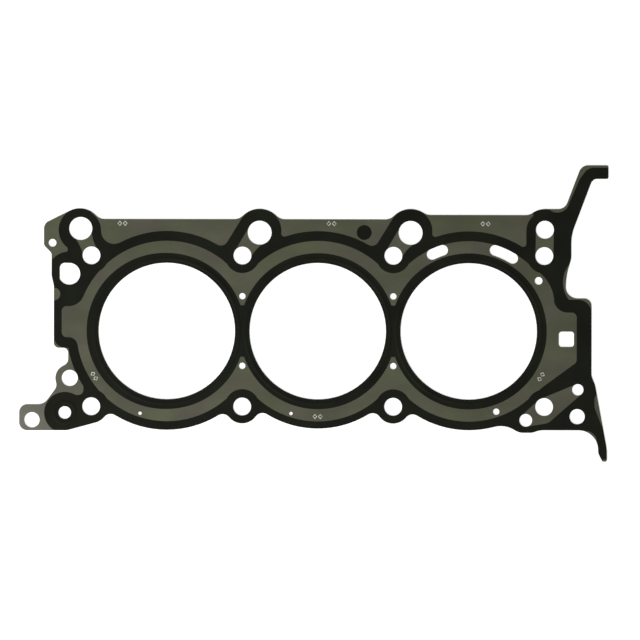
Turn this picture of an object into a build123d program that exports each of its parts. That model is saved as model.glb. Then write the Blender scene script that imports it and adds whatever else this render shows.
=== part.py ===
from build123d import *
import math
import os

# Two-layer steel cylinder head gasket for one bank of three cylinders. Lengths are in mm.
# X runs along the cylinder row, Y across it and Z up through the stack. The origin is the
# centre of the middle cylinder opening, where the two sheets meet.
# DX and DY are offsets from the nearest bolt hole, outwards from the middle of the gasket.

# ---- Stack, from the middle outwards ----
SHEET_T = 0.3
COAT_T = 0.1
BEAD_W = 2.6  # full bead, foot to foot
BEAD_CREST_W = 1.0
BEAD_H = 0.25
FIRE_BEAD_GAP = 1.7  # from the edge of a cylinder opening to its bead
OIL_BEAD_GAP = 1.6

# ---- Cylinder row and head bolts ----
BORE_PITCH = 104.0  # the bolts stand on squares of the same size
BORE_WALL = 10.0  # between two cylinder openings
BOLT_R = 6.15

# ---- Passages: offset, then radius ----
INNER_PORT_DX = 11.85
INNER_PORT_DY = 15.8
INNER_PORT_R = 8.25
LEFT_PORT_DX = 7.4
LEFT_PORT_DY = 18.5
LEFT_PORT_R = 7.95
RIGHT_PORT_DX = 0.4
RIGHT_PORT_DY = 18.1
RIGHT_PORT_R = 6.2
OIL_FEED_DX = 18.2
OIL_FEED_DY = 4.3
OIL_FEED_R = 4.35
TAB_HOLE_DX = 40.8
TAB_HOLE_DY = 9.35
TAB_HOLE_R = 5.3
LUG_HOLE_DX = 14.8
LUG_HOLE_DY = 19.5
LUG_HOLE_R = 5.6
RELIEF_DX = 12.6
RELIEF_DY = 9.2
RELIEF_R = 4.4
DRAIN_DX = 22.8
DRAIN_DY = 6.6
DRAIN_R = 5.25
TOP_DRAIN_DX = 23.2
TOP_DRAIN_DY = 11.9
TOP_DRAIN_R = 3.95
DOWEL_DX = 26.8
DOWEL_DY = 8.6
DOWEL_R = 2.7

BLEED_DX = -3.9
BLEED_DY = -17.1
BLEED_R = 2.65
D_HOLE_DX = 15.2
D_HOLE_DY = -12.7
D_HOLE_R = 7.5
D_HOLE_FLAT = 6.6  # from the centre to the flat side
D_HOLE_CORNER_R = 3.5
SQUARE_DX = 15.3
SQUARE_Y = 5.3  # below the cylinder row
SQUARE_W = 10.5
SQUARE_CORNER_R = 2.0
SLOT_GAP = 8.05  # from the right-hand cylinder opening
SLOT_W = 7.3
SLOT_INNER_ANGLE = 17.9  # either side of straight up from the right-hand cylinder
LEFT_SLOT_OUTER_ANGLE = 25.6
RIGHT_SLOT_OUTER_ANGLE = 31.0
VENT_Y = 24.0  # either side of the cylinder row
VENT_R = 2.2
LOW_VENT_DX = -33.0
LOW_VENT_DY = 3.3
PIN_HOLE_DX = -33.6
PIN_HOLE_DY = 4.8
PIN_HOLE_R = 1.2

# ---- Sheet outline ----
SKIRT_W = 20.1  # sheet below the middle cylinder
END_SKIRT_W = 21.1
BOLT_BOSS_R = 11.6
BOSS_FILLET = 5.8
TOP_EDGE = 25.1  # above the upper bolts
RIGHT_TOP_EDGE = 28.2
INNER_BOSS_R = 16.5
LEFT_BOSS_R = 15.4
RIGHT_BOSS_R = 14.8
BOSS_TOP = 32.4
TOP_FILLET = 8.0
# Left end, with X as the distance beyond the left-hand bolts
BLOCK_X = 25.8
BLOCK_BOTTOM_DY = -40.3
STEP_X = 27.4
STEP_LOW_DY = -21.0
STEP_HIGH_DY = -14.0
EAR_X = 32.7
EAR_FOOT_DY = 1.6
EAR_BOTTOM_DY = 6.9
EAR_TOP_DY = 21.9
NECK_INSET = 0.2  # from the widest point of the end skirt
LUG_R = 9.3
BOSS_SHIFT = 0.6
FEED_BOSS_R = 12.2
TAB_X = 49.6
TAB_TOP_DY = -1.4
TAB_BOTTOM_DY = 16.5
SLANT_FOOT_X = 32.6
SLANT_HEAD_X = 23.0
SLANT_HEAD_DY = -14.4
# Right end, with X as the distance beyond the right-hand bolts
SHOULDER_X = 18.6
SHOULDER_DY = -2.36
WAIST_X = 14.8
WAIST_DY = -22.2
SIDE_X = 32.6
SIDE_TOP_DY = -29.1
SIDE_BOTTOM_DY = 16.0
RELIEF_BOSS_R = 10.3
RELIEF_BOSS_LIFT = 1.7
RELIEF_BOSS_LEFT = 1.8
RELIEF_BOSS_RIGHT = 2.8
HORN_FOOT_DY = 14.5
HORN_ELBOW_X = 33.2
HORN_END_X = 44.1
HORN_LOW_DY = 53.2
HORN_TOP_DY = 62.6
HORN_BACK_X = 25.6
HORN_ROOT_X = 14.1
TAIL_HIP_DY = -21.5
TAIL_KNEE_X = 35.2
TAIL_KNEE_DY = -15.0
TAIL_END_X = 43.3
TAIL_SLOPE_END_DY = 29.0
TAIL_TIP_DY = 37.6
TAIL_TIP_W = 3.0
TAIL_INNER_X = 37.3
TAIL_INNER_DY = 32.0
RELIEF_FILLET = 17.8
SMALL_BLEND = 15.0
LONG_BLEND = 30.0
HORN_INNER_R = 4.6
HORN_OUTER_R = 6.6
NIB_R = 1.2
CORNER_R = 5.1
EAR_CORNER_R = 5.5
STEP_R = 3.5
TAIL_INNER_R = 13.5

# ---- Printed coat ----
RING_W = 6.75  # round each cylinder opening
RING_SWELL = 1.5  # extra width at the left-hand end of the row
JACKET_W = 15.2  # from a cylinder opening to the far side of the jacket window
BAND_W = 21.9  # from a cylinder opening to the far side of the band beyond that window
WEB_STRAP = 17.7  # half height of the strap between two cylinders
BOLT_BAND_R = 12.0
BOLT_BACK_R = 12.9
BOLT_BACK_DX = 6.0
BOLT_BACK_DY = 8.0
PORT_BAND_R = 15.0
PORT_BAND_LIFT = 1.3
LEFT_PAD_R = 14.6
EAR_PAD_R = 15.2
EAR_PAD_DROP = 1.0
LEFT_BACK_R = 7.4
RIGHT_PAD_R = 12.8
RIGHT_FLANGE_GAP = 8.0
RIGHT_BACK_R = 12.4
FEED_BAND_R = 14.2
D_BAND_R = 15.3
LEFT_BAY_DEPTH = 10.2  # beyond the jacket window
LEFT_BAY_TOP = 17.0
LEFT_BAY_BOTTOM = 4.4
LEFT_BAY_LOW_BLEND = 6.4
LEFT_BAY_HIGH_BLEND = 11.0
RIGHT_BAY_BLEND = 9.8
RIGHT_BAY_X = 22.4
RIGHT_BAY_TOP = 13.1
RIGHT_BAY_BOTTOM = 21.2
RIGHT_BAY_BEND_GAP = 1.9  # from the jacket window's round part
RIGHT_BAY_BEND_ANGLE = 35.8  # below the cylinder row
BAY_CORNER_R = 3.4
BULGE_DX = -20.2
BULGE_DY = -32.5
BULGE_R = 27.1
FLANGE_CORNER_R = 5.0
FLANGE_LEFT_R = 9.0
FLANGE_TIP_R = 2.2
PORT_TIP_DX = 25.8
LINK_PINCH = 2.0
PAD_DX = -20.1
PAD_DY = 16.0
PAD_R = 5.1
EDGE_MARGIN = 1.0
EAR_WINDOW_X = 16.3
EAR_WINDOW_DY = -6.0
NOTCH_DY = -26.7
NOTCH_R = 4.4
LUG_WINDOW_X = 5.4
LUG_WINDOW_DY = -7.8
NECK_WINDOW_DX = 32.3
NECK_WINDOW_DY = -18.1
NECK_WINDOW_R = 19.5
SIDE_BEND_R = 9.2
BLOCK_BEND_R = 7.9
DIP_DX = 8.9
DIP_DY = 38.3
DIP_R = 8.4
HORN_STRIP_X = 15.3
HORN_STRIP_BEND_X = 24.3
HORN_STRIP_BEND_DY = 53.0
HORN_STRIP_TOP_X = 30.0
HORN_STRIP_T = 1.7
TAIL_STRIP_W = 1.6
TAIL_STRIP_TOP_DY = -9.0
TAIL_STRIP_LOW_DY = 0.5
TAIL_STRIP_END_DY = 13.0
TAIL_STRIP_END_X = 39.6
TAIL_STRIP_SHIFT = 0.5
TAIL_STRIP_LEAD = 3.0
LONG_CORNER_DX = 0.5
LONG_CORNER_DY = 4.0
LONG_CORNER_R = 7.6

# ---- Places that follow from them ----
LEFT_X = -1.5 * BORE_PITCH
RIGHT_X = 1.5 * BORE_PITCH
BOLT_Y = BORE_PITCH / 2
BORE_R = (BORE_PITCH - BORE_WALL) / 2
BORES = [(-BORE_PITCH, 0), (0, 0), (BORE_PITCH, 0)]
WEBS = [-BORE_PITCH / 2, BORE_PITCH / 2]
UPPER_BOLTS = [(LEFT_X, BOLT_Y), (WEBS[0], BOLT_Y), (WEBS[1], BOLT_Y), (RIGHT_X, BOLT_Y)]
LOWER_BOLTS = [(x, -y) for x, y in UPPER_BOLTS]
LEFT_PORT = (LEFT_X - LEFT_PORT_DX, BOLT_Y + LEFT_PORT_DY)
INNER_PORTS = [(x + INNER_PORT_DX, BOLT_Y + INNER_PORT_DY) for x in WEBS]
RIGHT_PORT = (RIGHT_X + RIGHT_PORT_DX, BOLT_Y + RIGHT_PORT_DY)
OIL_FEED = (LEFT_X - OIL_FEED_DX, -BOLT_Y - OIL_FEED_DY)
TAB_HOLE = (LEFT_X - TAB_HOLE_DX, -BOLT_Y - TAB_HOLE_DY)
LUG_HOLE = (LEFT_X - LUG_HOLE_DX, -BOLT_Y + LUG_HOLE_DY)
RELIEF = (RIGHT_X - RELIEF_DX, -BOLT_Y - RELIEF_DY)
DRAIN = (RIGHT_X + DRAIN_DX, -BOLT_Y - DRAIN_DY)
TOP_DRAIN = (RIGHT_X + TOP_DRAIN_DX, -BOLT_Y + TOP_DRAIN_DY)
DOWEL = (LEFT_X - DOWEL_DX, BOLT_Y + DOWEL_DY)
BLEED = (RIGHT_X + BLEED_DX, BOLT_Y + BLEED_DY)
D_HOLE = (LEFT_X - D_HOLE_DX, BOLT_Y + D_HOLE_DY)
LOW_VENT = (RIGHT_X + LOW_VENT_DX, -BOLT_Y - LOW_VENT_DY)
PIN_HOLES = [(x - PIN_HOLE_DX, -BOLT_Y - PIN_HOLE_DY) for x in (LEFT_X, WEBS[0])]
LEFT_BOSS = (LEFT_PORT[0] - BOSS_SHIFT, BOLT_Y + BOSS_TOP - LEFT_BOSS_R)
RIGHT_BOSS = (RIGHT_PORT[0], BOLT_Y + BOSS_TOP - RIGHT_BOSS_R)
DECK_Y = BOLT_Y + TOP_EDGE
RIGHT_DECK_Y = BOLT_Y + RIGHT_TOP_EDGE
BOSS_TOP_Y = BOLT_Y + BOSS_TOP
# Heights at the left end, the lower ones negative
STEP_LOW_Y = BOLT_Y + STEP_LOW_DY
STEP_HIGH_Y = BOLT_Y + STEP_HIGH_DY
EAR_FOOT_Y = BOLT_Y + EAR_FOOT_DY
EAR_BOTTOM_Y = BOLT_Y + EAR_BOTTOM_DY
EAR_TOP_Y = BOLT_Y + EAR_TOP_DY
BLOCK_BOTTOM_Y = -BOLT_Y - BLOCK_BOTTOM_DY
TAB_TOP_Y = -BOLT_Y - TAB_TOP_DY
TAB_BOTTOM_Y = -BOLT_Y - TAB_BOTTOM_DY
SLANT_HEAD_Y = -BOLT_Y - SLANT_HEAD_DY
LUG_WINDOW_Y = -BOLT_Y - LUG_WINDOW_DY
NECK_LEFT = -BORE_PITCH - BORE_R - END_SKIRT_W + NECK_INSET
# Heights at the right end, the lower ones negative
SIDE_TOP_Y = BOLT_Y + SIDE_TOP_DY
SIDE_BOTTOM_Y = -BOLT_Y - SIDE_BOTTOM_DY
HORN_FOOT_Y = BOLT_Y + HORN_FOOT_DY
HORN_LOW_Y = BOLT_Y + HORN_LOW_DY
HORN_TOP_Y = BOLT_Y + HORN_TOP_DY
TAIL_HIP_Y = -BOLT_Y - TAIL_HIP_DY
TAIL_KNEE_Y = -BOLT_Y - TAIL_KNEE_DY
TAIL_SLOPE_END_Y = -BOLT_Y - TAIL_SLOPE_END_DY
TAIL_TIP_Y = -BOLT_Y - TAIL_TIP_DY
TAIL_INNER_Y = -BOLT_Y - TAIL_INNER_DY
# The scallop of the right-hand neck runs from its shoulder through its waist
SHOULDER = (RIGHT_X + SHOULDER_X, BOLT_Y + SHOULDER_DY)
SCALLOP_DEPTH = SHOULDER_X - WAIST_X
SCALLOP_CHORD = 2 * (SHOULDER_DY - WAIST_DY)
SCALLOP_R = SCALLOP_DEPTH / 2 + SCALLOP_CHORD**2 / (8 * SCALLOP_DEPTH)
SCALLOP = (RIGHT_X + WAIST_X + SCALLOP_R, BOLT_Y + WAIST_DY)
FIRE_BEAD_R = BORE_R + FIRE_BEAD_GAP + BEAD_W / 2
OIL_BEAD_R = OIL_FEED_R + OIL_BEAD_GAP + BEAD_W / 2


# ---- Sketch helpers, for use inside a BuildSketch block ----
def disc(centre, radius, mode=Mode.ADD):
    with Locations(centre):
        Circle(radius, mode=mode)


def box(left, right, bottom, top, mode=Mode.ADD):
    with Locations(((left + right) / 2, (bottom + top) / 2)):
        Rectangle(right - left, top - bottom, mode=mode)


def tangent_points(first, first_r, second, second_r, side):
    """Where the line that touches two circles on one side (+1 is left) meets each of them."""
    dx = second[0] - first[0]
    dy = second[1] - first[1]
    heading = math.atan2(dy, dx)
    normal = heading + side * math.acos((first_r - second_r) / math.hypot(dx, dy))
    across = (math.cos(normal), math.sin(normal))
    return [
        (centre[0] + radius * across[0], centre[1] + radius * across[1])
        for centre, radius in ((first, first_r), (second, second_r))
    ]


def band(first, first_r, second, second_r, mode=Mode.ADD):
    """Two discs and the strip that is tangent to both."""
    left = tangent_points(first, first_r, second, second_r, 1)
    right = tangent_points(first, first_r, second, second_r, -1)
    Polygon(left[0], left[1], right[1], right[0], mode=mode)
    disc(first, first_r, mode)
    disc(second, second_r, mode)


def fill_notch(first, first_r, second, second_r, radius):
    """Take away the notch to the right of two discs, up to an arc that is tangent to both."""
    dx = second[0] - first[0]
    dy = second[1] - first[1]
    span = math.hypot(dx, dy)
    reach = first_r + radius
    along = (span**2 + reach**2 - (second_r + radius) ** 2) / (2 * span)
    turn = math.atan2(dy, dx) - math.acos(along / reach)
    middle = (first[0] + reach * math.cos(turn), first[1] + reach * math.sin(turn))
    with BuildSketch(mode=Mode.PRIVATE) as notch:
        Polygon(first, second, middle)
        disc(middle, radius, Mode.SUBTRACT)
    add(notch.sketch, mode=Mode.SUBTRACT)


def link(first, first_r, second, second_r, left_pinch):
    """The strip between two openings, with its right side (and perhaps its left) drawn in."""
    left = tangent_points(first, first_r, second, second_r, 1)
    right = tangent_points(first, first_r, second, second_r, -1)
    with BuildLine() as sides:
        if left_pinch:
            SagittaArc(left[0], left[1], -left_pinch)
        else:
            Line(left[0], left[1])
        Line(left[1], right[1])
        SagittaArc(right[1], right[0], -LINK_PINCH)
        Line(right[0], left[0])
    make_face(sides.edges())


def round_corners(sketch, radius, *places):
    """Fillet the corner of the sketch that lies nearest each place."""
    fillet([sketch.vertices().sort_by_distance(place)[0] for place in places], radius)


# ---- Outline of every sheet ----
with BuildSketch() as outline:
    # Skirts round the cylinders, with bosses round the lower bolts
    for centre, skirt in zip(BORES, (END_SKIRT_W, SKIRT_W, END_SKIRT_W)):
        disc(centre, BORE_R + skirt)
    for centre in LOWER_BOLTS[:3]:
        disc(centre, BOLT_BOSS_R)
    # Top flange, with bosses round its ports
    box(LEFT_PORT[0], INNER_PORTS[1][0], 0, DECK_Y)
    box(INNER_PORTS[1][0], RIGHT_PORT[0], 0, RIGHT_DECK_Y)
    disc(LEFT_BOSS, LEFT_BOSS_R)
    for centre in INNER_PORTS:
        disc(centre, INNER_BOSS_R)
    disc(RIGHT_BOSS, RIGHT_BOSS_R)
    # Right-hand neck, drawn in by a long scallop
    box(BORE_PITCH, RIGHT_X + SHOULDER_X, 0, HORN_FOOT_Y)
    disc(SCALLOP, SCALLOP_R, Mode.SUBTRACT)
    # Horn at the upper right
    Polygon(
        (RIGHT_BOSS[0], HORN_FOOT_Y),
        (RIGHT_X + SHOULDER_X, HORN_FOOT_Y),
        (RIGHT_X + HORN_ELBOW_X, HORN_LOW_Y),
        (RIGHT_X + HORN_END_X, HORN_LOW_Y),
        (RIGHT_X + HORN_END_X, HORN_TOP_Y),
        (RIGHT_X + HORN_BACK_X, HORN_TOP_Y),
        (RIGHT_X + HORN_ROOT_X, BOSS_TOP_Y),
        (RIGHT_BOSS[0], BOSS_TOP_Y),
    )
    # Right-hand side with its lower corner and the boss of the relief passage
    box(RELIEF[0], RIGHT_X + SIDE_X, SIDE_BOTTOM_Y, SIDE_TOP_Y)
    relief_boss_y = RELIEF[1] + RELIEF_BOSS_LIFT
    relief_boss = [
        (RELIEF[0] - RELIEF_BOSS_LEFT, relief_boss_y),
        (RELIEF[0] + RELIEF_BOSS_RIGHT, relief_boss_y),
    ]
    band(relief_boss[0], RELIEF_BOSS_R, relief_boss[1], RELIEF_BOSS_R)
    # Tail at the lower right
    Polygon(
        (RIGHT_X, SIDE_BOTTOM_Y),
        (RIGHT_X + TAIL_INNER_X, SIDE_BOTTOM_Y),
        (RIGHT_X + TAIL_INNER_X, TAIL_INNER_Y),
        (RIGHT_X + TAIL_END_X - TAIL_TIP_W, TAIL_TIP_Y),
        (RIGHT_X + TAIL_END_X, TAIL_TIP_Y),
        (RIGHT_X + TAIL_END_X, TAIL_SLOPE_END_Y),
        (RIGHT_X + TAIL_KNEE_X, TAIL_KNEE_Y),
        (RIGHT_X + SIDE_X, TAIL_HIP_Y),
        (RIGHT_X, TAIL_HIP_Y),
    )
    # Left-hand block with the ear at the upper left
    ear_tangent = tangent_points((LEFT_X - EAR_X, EAR_TOP_Y), 0, LEFT_BOSS, LEFT_BOSS_R, 1)
    Polygon(
        (-BORE_PITCH, BLOCK_BOTTOM_Y),
        (LEFT_X - BLOCK_X, BLOCK_BOTTOM_Y),
        (LEFT_X - BLOCK_X, STEP_LOW_Y),
        (LEFT_X - STEP_X, STEP_HIGH_Y),
        (LEFT_X - STEP_X, EAR_FOOT_Y),
        (LEFT_X - EAR_X, EAR_BOTTOM_Y),
        (LEFT_X - EAR_X, EAR_TOP_Y),
        ear_tangent[1],
        LEFT_BOSS,
        (-BORE_PITCH, DECK_Y),
    )
    # Lug, oil-feed boss and tab at the lower left
    box(NECK_LEFT, -BORE_PITCH, LUG_HOLE[1], 0)
    disc((LUG_HOLE[0] - BOSS_SHIFT, LUG_HOLE[1]), LUG_R)
    band(OIL_FEED, FEED_BOSS_R, LOWER_BOLTS[0], BOLT_BOSS_R)
    Polygon(
        (LEFT_X, -BOLT_Y),
        (LEFT_X - SLANT_FOOT_X, TAB_TOP_Y),
        (LEFT_X - SLANT_HEAD_X, SLANT_HEAD_Y),
        (LEFT_X, LUG_HOLE[1]),
    )
    box(LEFT_X - TAB_X, OIL_FEED[0], TAB_BOTTOM_Y, TAB_TOP_Y)

    # Rounded corners, from the top flange round to the left-hand side
    top_bosses = [(LEFT_BOSS, LEFT_BOSS_R, DECK_Y, 1)]
    top_bosses += [(INNER_PORTS[0], INNER_BOSS_R, DECK_Y, side) for side in (-1, 1)]
    top_bosses += [(INNER_PORTS[1], INNER_BOSS_R, DECK_Y, -1)]
    top_bosses += [(INNER_PORTS[1], INNER_BOSS_R, RIGHT_DECK_Y, 1)]
    top_bosses += [(RIGHT_BOSS, RIGHT_BOSS_R, RIGHT_DECK_Y, -1)]
    for centre, radius, edge_y, side in top_bosses:
        reach = math.sqrt(radius**2 - (edge_y - centre[1]) ** 2)
        round_corners(outline, TOP_FILLET, (centre[0] + side * reach, edge_y))
    for x, y in LOWER_BOLTS[1:3]:
        round_corners(outline, BOSS_FILLET, (x - BOLT_BOSS_R, y), (x + BOLT_BOSS_R, y))
    round_corners(outline, BOSS_FILLET, (LEFT_X + BOLT_BOSS_R, -BOLT_Y))
    round_corners(outline, RELIEF_FILLET, (relief_boss[0][0] - RELIEF_BOSS_R, relief_boss_y))
    round_corners(outline, SMALL_BLEND, (relief_boss[1][0] + BOSS_FILLET, SIDE_BOTTOM_Y))
    round_corners(outline, HORN_INNER_R, (RIGHT_X + HORN_ELBOW_X, HORN_LOW_Y))
    round_corners(outline, HORN_OUTER_R, (RIGHT_X + HORN_BACK_X, HORN_TOP_Y))
    round_corners(outline, HORN_OUTER_R, (RIGHT_X + HORN_ROOT_X, BOSS_TOP_Y))
    horn_end = [(RIGHT_X + HORN_END_X, y) for y in (HORN_LOW_Y, HORN_TOP_Y)]
    round_corners(outline, NIB_R, *horn_end)
    round_corners(outline, LONG_BLEND, (RIGHT_X + SHOULDER_X, HORN_FOOT_Y))
    round_corners(outline, SMALL_BLEND, SHOULDER)
    waist_reach = math.sqrt(SCALLOP_R**2 - (SCALLOP[1] - SIDE_TOP_Y) ** 2)
    round_corners(outline, TOP_FILLET, (SCALLOP[0] - waist_reach, SIDE_TOP_Y))
    round_corners(outline, CORNER_R, (RIGHT_X + SIDE_X, SIDE_TOP_Y))
    round_corners(outline, TOP_FILLET, (RIGHT_X + SIDE_X, TAIL_HIP_Y))
    round_corners(outline, TOP_FILLET, (RIGHT_X + TAIL_KNEE_X, TAIL_KNEE_Y))
    round_corners(outline, TAIL_INNER_R, (RIGHT_X + TAIL_INNER_X, SIDE_BOTTOM_Y))
    round_corners(outline, TOP_FILLET, (RIGHT_X + TAIL_INNER_X, TAIL_INNER_Y))
    round_corners(outline, LONG_BLEND, (RIGHT_X + TAIL_END_X, TAIL_SLOPE_END_Y))
    tail_tip = [(RIGHT_X + TAIL_END_X - width, TAIL_TIP_Y) for width in (0, TAIL_TIP_W)]
    round_corners(outline, NIB_R, *tail_tip)
    round_corners(outline, EAR_CORNER_R, (LEFT_X - EAR_X, EAR_TOP_Y))
    round_corners(outline, STEP_R, (LEFT_X - EAR_X, EAR_BOTTOM_Y))
    round_corners(outline, STEP_R, (LEFT_X - STEP_X, EAR_FOOT_Y))
    round_corners(outline, STEP_R, (LEFT_X - STEP_X, STEP_HIGH_Y))
    round_corners(outline, STEP_R, (LEFT_X - BLOCK_X, STEP_LOW_Y))
    round_corners(outline, STEP_R, (LEFT_X - BLOCK_X, BLOCK_BOTTOM_Y))
    round_corners(outline, STEP_R, (NECK_LEFT, BLOCK_BOTTOM_Y))
    round_corners(outline, CORNER_R, (NECK_LEFT, LUG_HOLE[1] + LUG_R))
    round_corners(outline, BOSS_FILLET, (LEFT_X - SLANT_HEAD_X, SLANT_HEAD_Y))
    round_corners(outline, TOP_FILLET, (LEFT_X - SLANT_FOOT_X, TAB_TOP_Y))
    tab_corners = [(LEFT_X - TAB_X, y) for y in (TAB_TOP_Y, TAB_BOTTOM_Y)]
    round_corners(outline, EAR_CORNER_R, *tab_corners)

# ---- Openings stamped through every sheet ----
with BuildSketch() as openings:
    for centre in BORES:
        disc(centre, BORE_R)
    for centre in UPPER_BOLTS + LOWER_BOLTS:
        disc(centre, BOLT_R)
    disc(LEFT_PORT, LEFT_PORT_R)
    for centre in INNER_PORTS:
        disc(centre, INNER_PORT_R)
    disc(RIGHT_PORT, RIGHT_PORT_R)
    disc(OIL_FEED, OIL_FEED_R)
    disc(TAB_HOLE, TAB_HOLE_R)
    disc(LUG_HOLE, LUG_HOLE_R)
    disc(RELIEF, RELIEF_R)
    disc(DRAIN, DRAIN_R)
    disc(TOP_DRAIN, TOP_DRAIN_R)
    disc(DOWEL, DOWEL_R)
    # Vents in the webs, and the smaller holes of the jacket
    for x in WEBS:
        disc((x, VENT_Y), VENT_R)
        disc((x, -VENT_Y), VENT_R)
    disc(BLEED, BLEED_R)
    disc(LOW_VENT, VENT_R)
    for centre in PIN_HOLES:
        disc(centre, PIN_HOLE_R)
    # Coolant slots concentric with the right-hand cylinder
    for start, sweep in (
        (90 + SLOT_INNER_ANGLE, LEFT_SLOT_OUTER_ANGLE - SLOT_INNER_ANGLE),
        (90 - RIGHT_SLOT_OUTER_ANGLE, RIGHT_SLOT_OUTER_ANGLE - SLOT_INNER_ANGLE),
    ):
        with BuildLine() as slot_line:
            CenterArc(BORES[2], BORE_R + SLOT_GAP + SLOT_W / 2, start, sweep)
        SlotArc(slot_line.edges()[0], SLOT_W)
    # Square opening of the right-hand bay
    with Locations((RIGHT_X + SQUARE_DX, -SQUARE_Y)):
        RectangleRounded(SQUARE_W, SQUARE_W, SQUARE_CORNER_R)

with BuildSketch() as d_opening:
    disc(D_HOLE, D_HOLE_R)
    d_top = D_HOLE[1] + D_HOLE_R
    d_flat = D_HOLE[0] - D_HOLE_FLAT
    box(D_HOLE[0] - D_HOLE_R, D_HOLE[0], D_HOLE[1], d_top)
    box(D_HOLE[0] - D_HOLE_R, d_flat, D_HOLE[1] - D_HOLE_R, d_top, Mode.SUBTRACT)
    round_corners(d_opening, D_HOLE_CORNER_R, (d_flat, d_top))

with BuildSketch() as blank:
    add(outline.sketch)
    add(openings.sketch, mode=Mode.SUBTRACT)
    add(d_opening.sketch, mode=Mode.SUBTRACT)

# ---- Windows in the printed coat, where the steel is bare ----
BAND_R = BORE_R + BAND_W
JACKET_R = BORE_R + JACKET_W
OUTSIDE = 30.0  # how far a window runs past the sheet's edge

with BuildSketch() as jacket_window:
    for centre in BORES:
        disc(centre, JACKET_R)
    # Between two cylinders the window runs up to the bolts' bands
    reach = JACKET_R / math.sqrt(2)
    for x in WEBS:
        box(x - BORE_PITCH / 2 + reach, x + BORE_PITCH / 2 - reach, -reach, reach)
    # Bays at both ends
    bay_left = -BORE_PITCH - JACKET_R - LEFT_BAY_DEPTH
    box(bay_left, LEFT_X, -LEFT_BAY_BOTTOM, LEFT_BAY_TOP)
    bay_right = RIGHT_X + RIGHT_BAY_X
    bend_angle = math.radians(RIGHT_BAY_BEND_ANGLE)
    bend_reach = JACKET_R + RIGHT_BAY_BEND_GAP
    bay_bend = (
        BORE_PITCH + bend_reach * math.cos(bend_angle),
        -bend_reach * math.sin(bend_angle),
    )
    Polygon(
        (BORE_PITCH, RIGHT_BAY_TOP),
        (BORE_PITCH, 0),
        tangent_points(bay_bend, 0, BORES[2], JACKET_R, 1)[1],
        bay_bend,
        (bay_right, -RIGHT_BAY_BOTTOM),
        (bay_right, RIGHT_BAY_TOP),
    )
    left_corners = [(bay_left, -LEFT_BAY_BOTTOM), (bay_left, LEFT_BAY_TOP)]
    right_corners = [(bay_right, -RIGHT_BAY_BOTTOM), (bay_right, RIGHT_BAY_TOP)]
    round_corners(jacket_window, BAY_CORNER_R, *left_corners, *right_corners)
    for side, edge_y, blend in (
        (-1, -LEFT_BAY_BOTTOM, LEFT_BAY_LOW_BLEND),
        (-1, LEFT_BAY_TOP, LEFT_BAY_HIGH_BLEND),
        (1, RIGHT_BAY_TOP, RIGHT_BAY_BLEND),
    ):
        root_x = side * (BORE_PITCH + math.sqrt(JACKET_R**2 - edge_y**2))
        round_corners(jacket_window, blend, (root_x, edge_y))
    disc((RIGHT_X + BULGE_DX, BOLT_Y + BULGE_DY), BULGE_R)
    for centre in UPPER_BOLTS + LOWER_BOLTS:
        disc(centre, BOLT_BAND_R, Mode.SUBTRACT)
    # Rings round the cylinders, joined by a strap on each web
    for centre in BORES:
        disc(centre, BORE_R + RING_W, Mode.SUBTRACT)
    disc((-BORE_PITCH - RING_SWELL, 0), BORE_R + RING_W, Mode.SUBTRACT)
    for x in WEBS:
        box(x - RING_W, x + RING_W, -WEB_STRAP, WEB_STRAP, Mode.SUBTRACT)

with BuildSketch() as flange_windows:
    flange_right = RIGHT_BOSS[0] - RIGHT_FLANGE_GAP
    box(LEFT_X, flange_right, BOLT_Y - BOLT_BACK_DY, BOSS_TOP_Y + OUTSIDE)
    for centre in BORES:
        disc(centre, BAND_R, Mode.SUBTRACT)
    band(UPPER_BOLTS[0], LEFT_BACK_R, LEFT_BOSS, LEFT_PAD_R, Mode.SUBTRACT)
    for bolt, port in zip(UPPER_BOLTS[1:3], INNER_PORTS):
        back = (bolt[0] - BOLT_BACK_DX, bolt[1] - BOLT_BACK_DY)
        pad = (port[0], port[1] + PORT_BAND_LIFT)
        band(back, BOLT_BACK_R, pad, PORT_BAND_R, Mode.SUBTRACT)
    band(UPPER_BOLTS[3], RIGHT_BACK_R, RIGHT_BOSS, RIGHT_PAD_R, Mode.SUBTRACT)
    fill_notch(BORES[0], BAND_R, LEFT_BOSS, LEFT_PAD_R, FLANGE_LEFT_R)
    for x in WEBS:
        round_corners(flange_windows, FLANGE_CORNER_R, (x - BOLT_BACK_R, BOLT_Y + FLANGE_CORNER_R))
        round_corners(flange_windows, FLANGE_TIP_R, (x + PORT_TIP_DX, BOLT_Y + BOLT_BACK_R))
    round_corners(flange_windows, FLANGE_TIP_R, (RIGHT_X - RIGHT_BACK_R, BOLT_Y))

with BuildSketch() as left_windows:
    ear_right = LEFT_X - EAR_WINDOW_X
    ear_pad = (LEFT_PORT[0], LEFT_PORT[1] - EAR_PAD_DROP)
    ear_window_y = BOLT_Y + EAR_WINDOW_DY
    box(LEFT_X - EAR_X - OUTSIDE, ear_right, ear_window_y, DECK_Y + OUTSIDE)
    disc(ear_pad, EAR_PAD_R, Mode.SUBTRACT)
    disc(D_HOLE, D_BAND_R, Mode.SUBTRACT)
    nose_reach = math.sqrt(EAR_PAD_R**2 - (ear_pad[0] - ear_right) ** 2)
    nose = [(ear_right, ear_pad[1] - nose_reach), (ear_right, D_HOLE[1] + D_BAND_R)]
    round_corners(left_windows, NIB_R, *nose)
    # Nick in the left edge
    disc((LEFT_X - BLOCK_X, BOLT_Y + NOTCH_DY), NOTCH_R)

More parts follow.
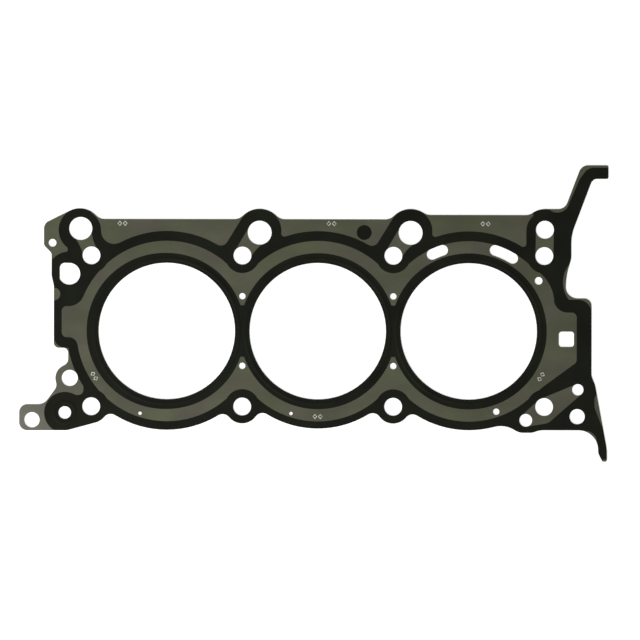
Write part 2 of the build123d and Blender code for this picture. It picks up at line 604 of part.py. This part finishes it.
with BuildSketch() as lower_left_windows:
    lug_right = LEFT_X - LUG_WINDOW_X
    box(LEFT_X - SLANT_FOOT_X, lug_right, LUG_WINDOW_Y, BLOCK_BOTTOM_Y)
    box(LEFT_X - TAB_X - OUTSIDE, OIL_FEED[0], TAB_BOTTOM_Y - OUTSIDE, LUG_WINDOW_Y)
    round_corners(lower_left_windows, STEP_R, (lug_right, LUG_WINDOW_Y))
    disc(BORES[0], BAND_R, Mode.SUBTRACT)
    disc(OIL_FEED, FEED_BAND_R, Mode.SUBTRACT)

with BuildSketch() as block_corner_window:
    block_left = LEFT_X - BLOCK_X
    block_bend = (block_left + BLOCK_BEND_R, BLOCK_BOTTOM_Y + BLOCK_BEND_R)
    box(block_left, block_bend[0], BLOCK_BOTTOM_Y, block_bend[1])
    disc(block_bend, BLOCK_BEND_R, Mode.SUBTRACT)

with BuildSketch() as side_window:
    # Upper corner of the right-hand side, and a strip along its top
    side_right = RIGHT_X + SIDE_X
    strip_y = SIDE_TOP_Y - EDGE_MARGIN
    side_bend = (side_right - SIDE_BEND_R, strip_y - SIDE_BEND_R)
    box(RIGHT_X + SHOULDER_X, side_right + OUTSIDE, strip_y, SIDE_TOP_Y + OUTSIDE)
    box(side_bend[0], side_right + OUTSIDE, side_bend[1], SIDE_TOP_Y)
    disc(side_bend, SIDE_BEND_R, Mode.SUBTRACT)

with BuildSketch() as neck_window:
    neck_centre = (RIGHT_X + NECK_WINDOW_DX, BOLT_Y + NECK_WINDOW_DY)
    disc(neck_centre, NECK_WINDOW_R)
    box(RIGHT_X, neck_centre[0] + NECK_WINDOW_R, 0, strip_y, Mode.SUBTRACT)

with BuildSketch() as horn_window:
    horn_strip_y = HORN_TOP_Y - HORN_STRIP_T
    strip_bends = [
        (RIGHT_X + HORN_STRIP_BEND_X, BOLT_Y + HORN_STRIP_BEND_DY),
        (RIGHT_X + HORN_STRIP_TOP_X, horn_strip_y),
    ]
    Polygon(
        (RIGHT_X + DIP_DX, BOSS_TOP_Y + OUTSIDE),
        (RIGHT_X + DIP_DX, BOSS_TOP_Y),
        (RIGHT_X + HORN_STRIP_X, BOSS_TOP_Y),
        *strip_bends,
        (RIGHT_X + HORN_END_X + OUTSIDE, horn_strip_y),
        (RIGHT_X + HORN_END_X + OUTSIDE, HORN_TOP_Y + OUTSIDE),
    )
    disc((RIGHT_X + DIP_DX, BOLT_Y + DIP_DY), DIP_R)
    round_corners(horn_window, TOP_FILLET, *strip_bends)

with BuildSketch() as tail_window:
    strip_x = RIGHT_X + TAIL_KNEE_X - TAIL_STRIP_SHIFT
    strip_top = -BOLT_Y - TAIL_STRIP_TOP_DY
    strip_end = -BOLT_Y - TAIL_STRIP_END_DY
    Polygon(
        (strip_x + OUTSIDE, strip_top),
        (strip_x + TAIL_STRIP_W, strip_top),
        (strip_x, strip_top - TAIL_STRIP_LEAD),
        (strip_x, -BOLT_Y - TAIL_STRIP_LOW_DY),
        (RIGHT_X + TAIL_STRIP_END_X, strip_end),
        (strip_x + OUTSIDE, strip_end),
    )

# Between the openings that the bolts share a window with
with BuildSketch() as link_windows:
    link(UPPER_BOLTS[0], BOLT_R, LEFT_PORT, LEFT_PORT_R, LINK_PINCH)
    for bolt, port in zip(UPPER_BOLTS[1:3], INNER_PORTS):
        link(bolt, BOLT_R, port, INNER_PORT_R, 0)
    band(UPPER_BOLTS[3], BOLT_R, RIGHT_PORT, RIGHT_PORT_R)
    # Long window that joins the relief, bolt and drain openings of the lower right corner
    long_corner = (RIGHT_X - LONG_CORNER_DX, -BOLT_Y - LONG_CORNER_DY)
    for end, end_r in ((RELIEF, RELIEF_R), (TOP_DRAIN, TOP_DRAIN_R)):
        band(end, end_r, LOWER_BOLTS[3], BOLT_R)
        band(end, end_r, long_corner, LONG_CORNER_R)

# ---- Steel and coat ----
with BuildSketch() as print_pattern:
    add(blank.sketch)
    for window in (
        jacket_window,
        flange_windows,
        left_windows,
        lower_left_windows,
        block_corner_window,
        side_window,
        neck_window,
        horn_window,
        tail_window,
        link_windows,
    ):
        add(window.sketch, mode=Mode.SUBTRACT)
    disc((WEBS[1] + PAD_DX, BOLT_Y + PAD_DY), PAD_R)

# ---- Beads ----
BEADS = [(centre, FIRE_BEAD_R) for centre in BORES] + [(OIL_FEED, OIL_BEAD_R)]

with BuildSketch() as bead_tracks:
    for centre, radius in BEADS:
        disc(centre, radius + BEAD_W / 2)
        disc(centre, radius - BEAD_W / 2, Mode.SUBTRACT)


def bead_ring(radius, thickness):
    """One full bead: a ring of raised section, flat on top, with its feet at height 0."""
    foot = BEAD_W / 2
    crest = BEAD_CREST_W / 2
    with BuildPart() as ring:
        with BuildSketch(Plane.XZ):
            Polygon(
                (radius - foot, 0),
                (radius - crest, BEAD_H),
                (radius + crest, BEAD_H),
                (radius + foot, 0),
                (radius + foot, thickness),
                (radius + crest, BEAD_H + thickness),
                (radius - crest, BEAD_H + thickness),
                (radius - foot, thickness),
            )
        revolve(axis=Axis.Z)
    return ring.part


SHEET_BEADS = [(centre, bead_ring(radius, SHEET_T)) for centre, radius in BEADS]
COAT_BEADS = [(centre, bead_ring(radius, COAT_T)) for centre, radius in BEADS]

# ---- Steel sheets and their coats ----
with BuildPart() as upper_bead_layer:
    with BuildSketch():
        add(blank.sketch)
        add(bead_tracks.sketch, mode=Mode.SUBTRACT)
    extrude(amount=SHEET_T)
    for centre, ring in SHEET_BEADS:
        with Locations(centre):
            add(ring)
upper_bead_layer.part.label = "upper_bead_layer"

with BuildPart() as upper_sealing_coat:
    with BuildSketch(Plane.XY.offset(SHEET_T)):
        add(print_pattern.sketch)
        add(bead_tracks.sketch, mode=Mode.SUBTRACT)
    extrude(amount=COAT_T)
    for (x, y), ring in COAT_BEADS:
        with Locations((x, y, SHEET_T)):
            add(ring)
upper_sealing_coat.part.label = "upper_sealing_coat"

# The lower sheet is the upper one turned over, here with its coat bonded on underneath
with BuildPart() as lower_bead_layer:
    mirror(upper_bead_layer.part, about=Plane.XY)
    mirror(upper_sealing_coat.part, about=Plane.XY)
lower_bead_layer.part.label = "lower_bead_layer"

os.makedirs("parts", exist_ok=True)
export_step(upper_bead_layer.part, "parts/upper_bead_layer.step")
export_step(upper_sealing_coat.part, "parts/upper_sealing_coat.step")
export_step(lower_bead_layer.part, "parts/lower_bead_layer.step")
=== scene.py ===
import math

import bpy
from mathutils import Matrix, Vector


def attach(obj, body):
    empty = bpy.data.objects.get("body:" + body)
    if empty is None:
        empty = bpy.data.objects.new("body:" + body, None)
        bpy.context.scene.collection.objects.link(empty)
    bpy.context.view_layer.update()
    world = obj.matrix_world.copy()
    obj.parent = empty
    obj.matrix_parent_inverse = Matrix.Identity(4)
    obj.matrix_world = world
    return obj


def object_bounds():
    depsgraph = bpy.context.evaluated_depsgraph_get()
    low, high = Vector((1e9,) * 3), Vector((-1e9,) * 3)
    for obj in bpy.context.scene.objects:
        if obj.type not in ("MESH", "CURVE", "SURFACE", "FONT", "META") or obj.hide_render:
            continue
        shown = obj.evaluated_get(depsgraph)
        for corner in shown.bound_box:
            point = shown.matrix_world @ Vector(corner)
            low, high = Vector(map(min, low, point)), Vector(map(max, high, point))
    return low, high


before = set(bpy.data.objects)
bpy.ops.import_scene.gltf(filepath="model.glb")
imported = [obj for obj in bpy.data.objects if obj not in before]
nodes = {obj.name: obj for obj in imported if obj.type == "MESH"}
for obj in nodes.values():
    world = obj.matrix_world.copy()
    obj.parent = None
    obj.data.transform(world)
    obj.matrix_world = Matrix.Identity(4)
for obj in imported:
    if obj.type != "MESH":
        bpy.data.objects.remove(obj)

CAD_LOW, CAD_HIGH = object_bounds()

# ---- Sizes, in metres ----
FRAME_PX = 640
METRES_PER_PX = 0.00068896
VIEW_CENTRE = (0.00154, 0.00771)
VIEW_ROLL = math.radians(0.091)
CAMERA_HEIGHT = 2.4
SENSOR = 36.0  # millimetres
FLOOR_SIZE = 6.0
FLOOR_GAP = 0.00002  # keeps the floor's face apart from the bead crests that rest on it

COAT_START = -0.00031  # between the lower sheet's under face and the coat printed on it
SHEET_TOP_FLAT = 0.0003  # the upper sheet's face between its beads
TAB_CORNER = (-0.207, -0.072, 0.0)
TAB_HIGHLIGHT_SPAN = (0.015, 0.060)  # from the corner: full painted highlight up to the first, none past the second
TAIL_BARE_CENTRE = (0.1845, -0.0764, 0.0)
TAIL_BARE_R = 0.0080
TAIL_TIP_BARE_Y = -0.0882

MARK_WIDTH = 0.0031
MARK_HEIGHT = 0.0036
MARK_STROKE = 0.00042
MARK_GAP = 0.0006
MARK_LIFT = 0.00001  # keeps the mark clear of the sheet that it lies on
FLANGE_MARK_Y = 0.0741
FLANGE_MARKS_X = (-0.1346, 0.0094, 0.1155)
JACKET_MARK_R = 0.0588
JACKET_MARKS = ((-0.104, -148.0), (0.0, -90.0), (0.104, -32.0))  # cylinder's x, and degrees

# ---- Colours, linear ----
STEEL_OLIVE = (0.0771, 0.0854, 0.0506)
STEEL_ROSY = (0.0801, 0.0769, 0.0591)
# painted highlight: a paler, more neutral steel colour blended in near the tab's corner
STEEL_PAINTED_HIGHLIGHT = (0.1155, 0.1132, 0.0950)
STEEL_CUT = (0.2145, 0.2145, 0.1945)
STEEL_ETCHED = (0.58, 0.58, 0.53)
STEEL_GRAIN = (0.0345, 0.0345, 0.0295)
COAT_WARM = (0.0054, 0.0059, 0.0026)
COAT_COOL = (0.0048, 0.0061, 0.0034)
FLOOR_GREY = (0.8, 0.8, 0.8)
WHITE = (1.0, 1.0, 1.0)

# ---- Noises: scale in cycles per metre, and stretch, where less than 1 draws an axis out ----
STEEL_GRAIN_NOISE = {"scale": 2200.0, "detail": 3.0, "stretch": (0.12, 1.0, 1.0)}
STEEL_TINT_NOISE = {"scale": 45.0, "detail": 2.0}
STEEL_PATCH_NOISE = {"scale": 42.0, "detail": 3.0, "stretch": (0.6, 1.0, 1.0), "seed": 15.5}
COAT_TINT_NOISE = {"scale": 25.0, "detail": 3.0}
COAT_CLOUD_NOISE = {"scale": 40.0, "detail": 3.0, "seed": 15.5}
COAT_PEEL_NOISE = {"scale": 1800.0, "detail": 2.0}
ETCH_NOISE = {"scale": 900.0, "detail": 1.0}
WIDE_SPAN = (0.3, 0.7)  # nearly all of a noise's values lie between these
PATCH_SPAN = (0.35, 0.65)
ETCH_SPAN = (0.38, 0.56)

# ---- Finishes ----
SPECULAR_LEVEL = 0.08
MICRO_RELIEF = 0.00001
STEEL_METALLIC = 0.5
STEEL_PATCH_SHADE = (0.87, 1.13)
STEEL_GRAIN_SHARE = 0.07
STEEL_ROUGHNESS = (0.47, 0.53)
STEEL_RELIEF = 0.06
UPRIGHT_LIMIT = 0.5  # a face whose normal is less upright than this is a sheared edge
COAT_CLOUD_SHADE = (0.72, 1.28)
COAT_ROUGHNESS = (0.50, 0.62)
COAT_RELIEF = 0.12
ETCH_DEPTH = (0.45, 1.0)
ETCH_METALLIC = 0.3
ETCH_ROUGHNESS = 0.6

# ---- Light: each lamp's place, aim, size, power and colour ----
KEY = ((-0.55, -0.6, 1.0), (-0.05, 0.0, 0.0), 1.0, 12.0, (1.0, 0.985, 0.96))
FILL = ((-1.0, 1.2, 2.2), (0.0, 0.0, 0.0), 1.6, 3.0, (0.93, 0.99, 1.0))
WORLD_LEVEL = 0.62
FLOOR_LIFT = 0.4

MIX_SOCKETS = {"FLOAT": (2, 3, 0), "VECTOR": (4, 5, 1), "RGBA": (6, 7, 2)}  # first, second, result


def rgba(colour):
    return (*colour, 1.0)


class Nodes:
    """A material's node tree, with short calls for the nodes used here."""

    def __init__(self, name):
        self.material = bpy.data.materials.new(name)
        self.material.use_nodes = True
        self.tree = self.material.node_tree
        self.shader = self.tree.nodes["Principled BSDF"]
        self.output = self.tree.nodes["Material Output"]

    def add(self, kind, **settings):
        node = self.tree.nodes.new(kind)
        for key, value in settings.items():
            setattr(node, key, value)
        return node

    def link(self, source, target):
        self.tree.links.new(source, target)

    def place(self, scale=(1.0, 1.0, 1.0)):
        """Object coordinates, scaled."""
        coordinates = self.add("ShaderNodeTexCoord")
        mapping = self.add("ShaderNodeMapping")
        mapping.inputs["Scale"].default_value = scale
        self.link(coordinates.outputs["Object"], mapping.inputs["Vector"])
        return mapping.outputs["Vector"]

    def noise(self, scale, detail, stretch=(1.0, 1.0, 1.0), seed=0.0):
        node = self.add("ShaderNodeTexNoise", noise_dimensions="4D")
        node.inputs["W"].default_value = seed
        node.inputs["Scale"].default_value = scale
        node.inputs["Detail"].default_value = detail
        self.link(self.place(stretch), node.inputs["Vector"])
        return node.outputs["Fac"]

    def remap(self, value, span, new_span):
        node = self.add("ShaderNodeMapRange")
        names = ("From Min", "From Max", "To Min", "To Max")
        for name, number in zip(names, (*span, *new_span)):
            node.inputs[name].default_value = number
        self.link(value, node.inputs["Value"])
        return node.outputs["Result"]

    def blend(self, factor, first, second, kind="RGBA"):
        """A value between two: each is an output or a plain colour."""
        at_0, at_1, result = MIX_SOCKETS[kind]
        node = self.add("ShaderNodeMix", data_type=kind)
        self.link(factor, node.inputs["Factor"])
        for socket, value in ((node.inputs[at_0], first), (node.inputs[at_1], second)):
            if isinstance(value, tuple):
                socket.default_value = rgba(value)
            else:
                self.link(value, socket)
        return node.outputs[result]

    def shade(self, colour, factor):
        """The colour, made darker or brighter by a factor."""
        node = self.add("ShaderNodeVectorMath", operation="SCALE")
        self.link(colour, node.inputs[0])
        self.link(factor, node.inputs["Scale"])
        return node.outputs["Vector"]

    def bump(self, height, strength):
        node = self.add("ShaderNodeBump")
        node.inputs["Strength"].default_value = strength
        node.inputs["Distance"].default_value = MICRO_RELIEF
        self.link(height, node.inputs["Height"])
        return node.outputs["Normal"]

    def math(self, operation, *values, clamp=False):
        node = self.add("ShaderNodeMath", operation=operation, use_clamp=clamp)
        for socket, value in zip(node.inputs, values):
            if isinstance(value, float):
                socket.default_value = value
            else:
                self.link(value, socket)
        return node.outputs["Value"]

    def split(self, vector):
        node = self.add("ShaderNodeSeparateXYZ")
        self.link(vector, node.inputs["Vector"])
        return node.outputs

    def show(self, colour, roughness, normal):
        """Gives the shader a surface."""
        self.shader.inputs["Specular IOR Level"].default_value = SPECULAR_LEVEL
        self.link(colour, self.shader.inputs["Base Color"])
        self.link(roughness, self.shader.inputs["Roughness"])
        self.link(normal, self.shader.inputs["Normal"])


def distance_from(m, centre):
    """How far a place is from an upright line through the centre."""
    offset = m.add("ShaderNodeVectorMath", operation="SUBTRACT")
    m.link(m.place((1.0, 1.0, 0.0)), offset.inputs[0])
    offset.inputs[1].default_value = centre
    length = m.add("ShaderNodeVectorMath", operation="LENGTH")
    m.link(offset.outputs["Vector"], length.inputs[0])
    return length.outputs["Value"]


def steel_surface(m):
    """Colour, roughness and normal of cold-rolled spring steel: olive-grey and semi-matt, with faint
    patches and a fine rolled grain. Towards the tab's corner a painted highlight makes it paler, and
    it is brighter where it was sheared."""
    grain = m.noise(**STEEL_GRAIN_NOISE)
    patches = m.noise(**STEEL_PATCH_NOISE)
    tint = m.remap(m.noise(**STEEL_TINT_NOISE), PATCH_SPAN, (0.0, 1.0))
    colour = m.blend(tint, STEEL_OLIVE, STEEL_ROSY)
    # painted highlight: the steel turns paler towards the tab's corner and fades out by the span's
    # second distance
    tab_highlight = m.remap(distance_from(m, TAB_CORNER), TAB_HIGHLIGHT_SPAN, (1.0, 0.0))
    colour = m.blend(tab_highlight, colour, STEEL_PAINTED_HIGHLIGHT)
    colour = m.shade(colour, m.remap(patches, PATCH_SPAN, STEEL_PATCH_SHADE))
    lines = m.remap(grain, WIDE_SPAN, (0.0, STEEL_GRAIN_SHARE))
    colour = m.blend(lines, colour, STEEL_GRAIN)
    true_normal = m.add("ShaderNodeNewGeometry").outputs["True Normal"]
    upright = m.math("ABSOLUTE", m.split(true_normal)["Z"])
    colour = m.blend(m.math("LESS_THAN", upright, UPRIGHT_LIMIT), colour, STEEL_CUT)
    return colour, m.remap(grain, WIDE_SPAN, STEEL_ROUGHNESS), m.bump(grain, STEEL_RELIEF)


def coat_surface(m):
    """Colour, roughness and normal of printed black elastomer: satin and a little cloudy, with the
    faint orange peel of a screen print."""
    peel = m.noise(**COAT_PEEL_NOISE)
    clouds = m.noise(**COAT_CLOUD_NOISE)
    tint = m.remap(m.noise(**COAT_TINT_NOISE), WIDE_SPAN, (0.0, 1.0))
    colour = m.blend(tint, COAT_WARM, COAT_COOL)
    colour = m.shade(colour, m.remap(clouds, PATCH_SPAN, COAT_CLOUD_SHADE))
    return colour, m.remap(peel, WIDE_SPAN, COAT_ROUGHNESS), m.bump(peel, COAT_RELIEF)


def steel_material():
    m = Nodes("rolled_steel")
    m.show(*steel_surface(m))
    m.shader.inputs["Metallic"].default_value = STEEL_METALLIC
    return m.material


def show_print(m, printed):
    """Shows the elastomer where printed is 1, and the steel where it is 0."""
    steel_and_coat = zip(steel_surface(m), coat_surface(m), ("RGBA", "FLOAT", "VECTOR"))
    m.show(*[m.blend(printed, steel, coat, kind) for steel, coat, kind in steel_and_coat])
    m.link(m.remap(printed, (0.0, 1.0), (STEEL_METALLIC, 0.0)), m.shader.inputs["Metallic"])


def coat_material():
    """The print, which leaves bare a crescent along the tail's hollow edge and the tail's tip."""
    m = Nodes("printed_elastomer")
    past_crescent = m.math("GREATER_THAN", distance_from(m, TAIL_BARE_CENTRE), TAIL_BARE_R)
    above_tip = m.math("GREATER_THAN", m.split(m.place())["Y"], TAIL_TIP_BARE_Y)
    show_print(m, m.math("MINIMUM", past_crescent, above_tip))
    return m.material


def coated_under_face_material():
    """Steel, with the elastomer on all that stands proud of the sheet's under face."""
    m = Nodes("steel_with_printed_under_face")
    show_print(m, m.math("LESS_THAN", m.split(m.place())["Z"], COAT_START))
    return m.material


def etched_material():
    """Pale steel where the surface was etched away, more deeply in some spots than in others."""
    m = Nodes("etched_steel")
    depth = m.remap(m.noise(**ETCH_NOISE), ETCH_SPAN, ETCH_DEPTH)
    m.link(m.blend(depth, STEEL_ROSY, STEEL_ETCHED), m.shader.inputs["Base Color"])
    m.shader.inputs["Metallic"].default_value = ETCH_METALLIC
    m.shader.inputs["Roughness"].default_value = ETCH_ROUGHNESS
    return m.material


def floor_material():
    """White to the camera and in reflections, but still lit, so it keeps the part's shadow."""
    m = Nodes("studio_floor")
    m.tree.nodes.remove(m.shader)
    matt = m.add("ShaderNodeBsdfDiffuse")
    matt.inputs["Color"].default_value = rgba(FLOOR_GREY)
    lift = m.add("ShaderNodeEmission")
    lift.inputs["Color"].default_value = rgba(WHITE)
    path = m.add("ShaderNodeLightPath")
    seen = m.math("ADD", path.outputs["Is Camera Ray"], path.outputs["Is Glossy Ray"])
    seen = m.math("ADD", seen, path.outputs["Is Transmission Ray"], clamp=True)
    m.link(m.math("MULTIPLY", seen, FLOOR_LIFT), lift.inputs["Strength"])
    both = m.add("ShaderNodeAddShader")
    m.link(matt.outputs["BSDF"], both.inputs[0])
    m.link(lift.outputs["Emission"], both.inputs[1])
    m.link(both.outputs["Shader"], m.output.inputs["Surface"])
    return m.material


def paint(thing, material):
    """Puts the material in all of an object's slots, or in a first one."""
    if not thing.material_slots:
        thing.data.materials.append(material)
    for slot in thing.material_slots:
        slot.material = material


paint(nodes["upper_bead_layer"], steel_material())
paint(nodes["lower_bead_layer"], coated_under_face_material())
paint(nodes["upper_sealing_coat"], coat_material())


# ---- Etched inspection marks: two small open diamonds at each place, with nothing to read ----
def open_diamond(middle):
    """Corners and faces of one open diamond: its outer loop, then its inner loop."""
    wide, high = MARK_WIDTH / 2, MARK_HEIGHT / 2
    hollow = 1.0 - MARK_STROKE * math.hypot(wide, high) / (wide * high)
    loop = ((-wide, 0.0), (0.0, -high), (wide, 0.0), (0.0, high))
    corners = [(middle + x * size, y * size) for size in (1.0, hollow) for x, y in loop]
    return corners, [(k, (k + 1) % 4, 4 + (k + 1) % 4, 4 + k) for k in range(4)]


def etched_mark(name, centre, angle, material):
    """Two open diamonds side by side, flat on the upper sheet."""
    points, faces = [], []
    for side in (-1, 1):
        corners, strokes = open_diamond(side * (MARK_WIDTH + MARK_GAP) / 2)
        faces += [tuple(len(points) + k for k in stroke) for stroke in strokes]
        points += corners
    turn_x, turn_y = math.cos(angle), math.sin(angle)
    places = []
    for x, y in points:
        across = centre[0] + x * turn_x - y * turn_y
        up = centre[1] + x * turn_y + y * turn_x
        places.append((across, up, SHEET_TOP_FLAT + MARK_LIFT))
    mesh = bpy.data.meshes.new(name)
    mesh.from_pydata(places, [], faces)
    mark = bpy.data.objects.new(name, mesh)
    bpy.context.scene.collection.objects.link(mark)
    paint(mark, material)
    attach(mark, "root")


etched = etched_material()
for number, x in enumerate(FLANGE_MARKS_X, 1):
    etched_mark(f"flange_etched_mark_{number}", (x, FLANGE_MARK_Y), 0.0, etched)
for number, (cylinder_x, degrees) in enumerate(JACKET_MARKS, 1):
    angle = math.radians(degrees)
    centre = (cylinder_x + JACKET_MARK_R * math.cos(angle), JACKET_MARK_R * math.sin(angle))
    etched_mark(f"jacket_etched_mark_{number}", centre, angle + math.pi / 2, etched)

# ---- Floor, camera and light ----
bpy.ops.mesh.primitive_plane_add(size=FLOOR_SIZE, location=(0.0, 0.0, CAD_LOW.z - FLOOR_GAP))
floor = bpy.context.object
floor.name = "studio_floor"
paint(floor, floor_material())

camera_data = bpy.data.cameras.new("camera")
camera_data.sensor_width = SENSOR
camera_data.lens = SENSOR * CAMERA_HEIGHT / (FRAME_PX * METRES_PER_PX)
camera = bpy.data.objects.new("camera", camera_data)
bpy.context.scene.collection.objects.link(camera)
camera.location = (*VIEW_CENTRE, CAMERA_HEIGHT)
camera.rotation_euler = (0.0, 0.0, VIEW_ROLL)
bpy.context.scene.camera = camera


def lamp(name, place, aim, size, power, colour):
    data = bpy.data.lights.new(name, "AREA")
    data.shape = "DISK"
    data.size = size
    data.energy = power
    data.color = colour
    thing = bpy.data.objects.new(name, data)
    bpy.context.scene.collection.objects.link(thing)
    thing.location = place
    thing.rotation_euler = (Vector(aim) - Vector(place)).to_track_quat("-Z", "Y").to_euler()


lamp("key", *KEY)
lamp("fill", *FILL)

world = bpy.data.worlds.new("studio")
world.use_nodes = True
background = world.node_tree.nodes["Background"]
background.inputs["Color"].default_value = rgba(WHITE)
background.inputs["Strength"].default_value = WORLD_LEVEL
bpy.context.scene.world = world
bpy.context.scene.view_settings.view_transform = "Standard"
